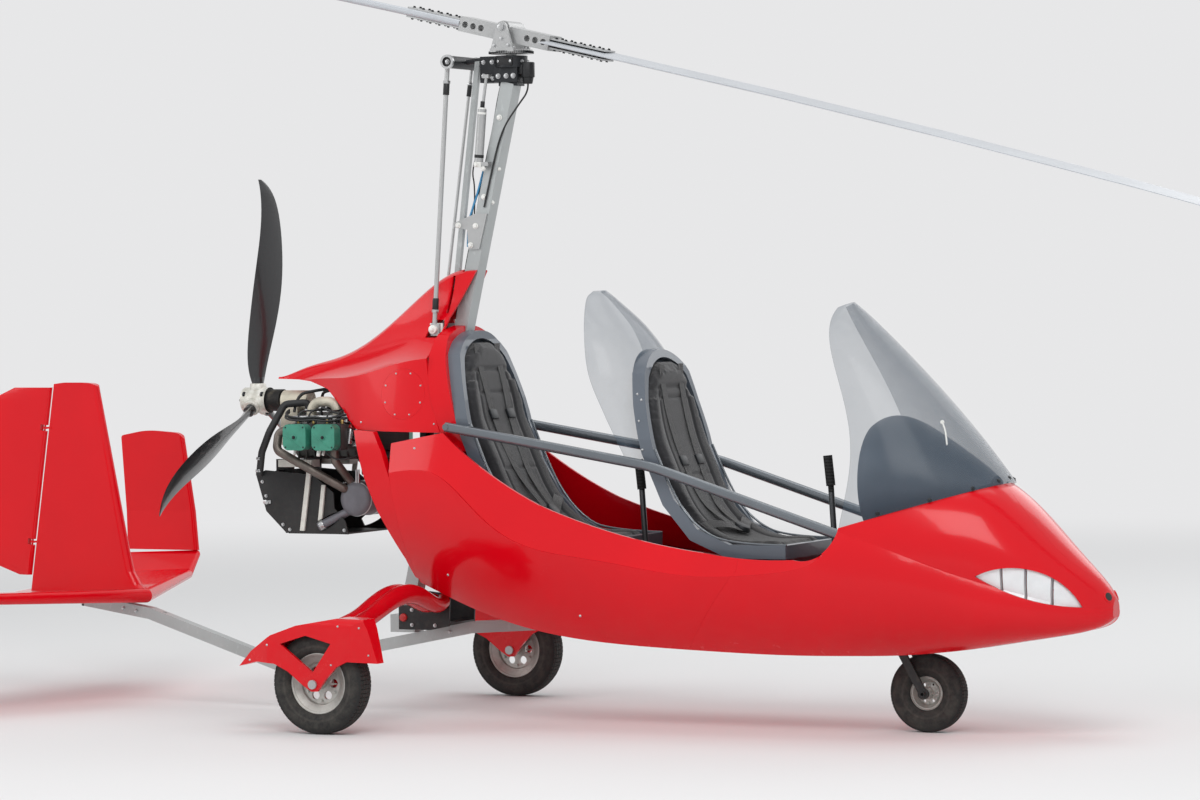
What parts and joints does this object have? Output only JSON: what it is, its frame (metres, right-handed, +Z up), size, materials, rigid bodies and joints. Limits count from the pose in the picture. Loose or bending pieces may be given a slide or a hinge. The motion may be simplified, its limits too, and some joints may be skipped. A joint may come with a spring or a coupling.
{
  "type": "tandem gyrocopter",
  "caption": "Open tandem gyrocopter with a teetering rotor on a raked mast, a pusher propeller behind the cockpit, a steered nose wheel, faired main wheels and a rudder between side fins.",
  "frame": {"origin": "on the ground, below the middle of the rotor span, which is 34 mm behind the rotor teeter bolt, in the centre plane", "axes": "+X forward to the nose, +Y to the left, +Z up"},
  "size_m": [8.2818, 1.8476, 3.4684],
  "materials": {
    "red_shell": "gloss",
    "red_leg": "gloss",
    "lamp_white": "gloss",
    "clear_cover": "gloss",
    "clear_screen": "gloss",
    "slate_shell": "satin",
    "black_fabric": "matte",
    "grey_tube": "satin",
    "bar_grey": "gloss",
    "dark_panel": "matte",
    "dark_steel": "satin",
    "bright_steel": "satin",
    "hub_alloy": "satin",
    "blade_white": "satin",
    "brace_white": "satin",
    "tyre_black": "matte",
    "engine_alloy": "cast",
    "cover_green": "satin",
    "exhaust_steel": "satin",
    "radiator_black": "matte",
    "hose_black": "matte",
    "prop_black": "satin"
  },
  "bodies": {
    "airframe": {"centre_fin": "red_shell", "cockpit_controls": "dark_steel", "cockpit_floor": "dark_panel", "coolant_hoses": "hose_black", "cylinder_heads": "engine_alloy", "dash": "dark_panel", "engine_block": "engine_alloy", "engine_mount": "grey_tube", "exhaust_pipes": "exhaust_steel", "filler_panel": "red_shell", "gear_legs": "red_leg", "gearbox": "engine_alloy", "hull_tub": "red_shell", "intake_tubes": "hub_alloy", "keel_beam": "grey_tube", "lamp_covers": "clear_cover", "main_axles": "bright_steel", "mast": "grey_tube", "mast_bracket": "grey_tube", "mast_strut": "grey_tube", "muffler": "exhaust_steel", "nose_hatch": "red_shell", "nose_lamps": "lamp_white", "nose_shell": "red_shell", "pitch_rods": "bright_steel", "radiator": "radiator_black", "radiator_braces": "brace_white", "rear_box": "grey_tube", "rear_cowl": "red_shell", "rear_pillars": "red_shell", "rotor_head": "dark_steel", "seat_bulkhead": "red_shell", "seat_front_cushion": "black_fabric", "seat_front_shell": "slate_shell", "seat_rear_cushion": "black_fabric", "seat_rear_shell": "slate_shell", "side_bars": "bar_grey", "side_fins": "red_shell", "steering_head": "dark_steel", "tailplane": "red_shell", "trim_actuator": "dark_steel", "valve_covers": "cover_green", "wheel_fairing_left": "red_shell", "wheel_fairing_right": "red_shell", "windscreen_rear": "clear_screen", "windshield_front": "clear_screen"},
    "rotor_mast_head": {"rotor_towers": "bright_steel"},
    "rotor": {"hub_bar": "hub_alloy", "rotor_blades": "blade_white"},
    "propeller": {"propeller_hub": "hub_alloy", "propeller_blades": "prop_black"},
    "main_wheel_right": {"main_right_rim": "hub_alloy", "main_right_tyre": "tyre_black"},
    "main_wheel_left": {"main_left_rim": "hub_alloy", "main_left_tyre": "tyre_black"},
    "nose_gear": {"nose_fork": "dark_steel"},
    "nose_wheel": {"nose_rim": "hub_alloy", "nose_tyre": "tyre_black"},
    "rudder_surface": {"rudder": "red_shell"}
  },
  "joints": [
    {"name": "rotor_spin", "type": "hinge", "parent": "airframe", "child": "rotor_mast_head", "pos_m": [0.03418, 0, 2.63], "axis": [0, 0, 1], "continuous": true},
    {"name": "rotor_teeter", "type": "hinge", "parent": "rotor_mast_head", "child": "rotor", "pos_m": [0.03418, 0, 2.63], "axis": [0, 1, 0], "range_deg": [-26.4, 0]},
    {"name": "propeller_spin", "type": "hinge", "parent": "airframe", "child": "propeller", "pos_m": [-1.09582, 0, 1.212], "axis": [1, 0, 0], "continuous": true},
    {"name": "main_wheel_right_spin", "type": "hinge", "parent": "airframe", "child": "main_wheel_right", "pos_m": [-0.37182, -0.804, 0.1885], "axis": [0, 1, 0], "continuous": true},
    {"name": "main_wheel_left_spin", "type": "hinge", "parent": "airframe", "child": "main_wheel_left", "pos_m": [-0.37182, 0.804, 0.1885], "axis": [0, 1, 0], "continuous": true},
    {"name": "nose_steer", "type": "hinge", "parent": "airframe", "child": "nose_gear", "pos_m": [1.71518, 0, 0.144], "axis": [-0.4848, 0, 0.8746], "range_deg": [-30, 30]},
    {"name": "nose_wheel_spin", "type": "hinge", "parent": "nose_gear", "child": "nose_wheel", "pos_m": [1.71518, 0, 0.144], "axis": [0, 1, 0], "continuous": true},
    {"name": "rudder_hinge", "type": "hinge", "parent": "airframe", "child": "rudder_surface", "pos_m": [-2.17446, 0, 0.5], "axis": [0.1439, 0, 0.9896], "range_deg": [-28, 28]}
  ]
}
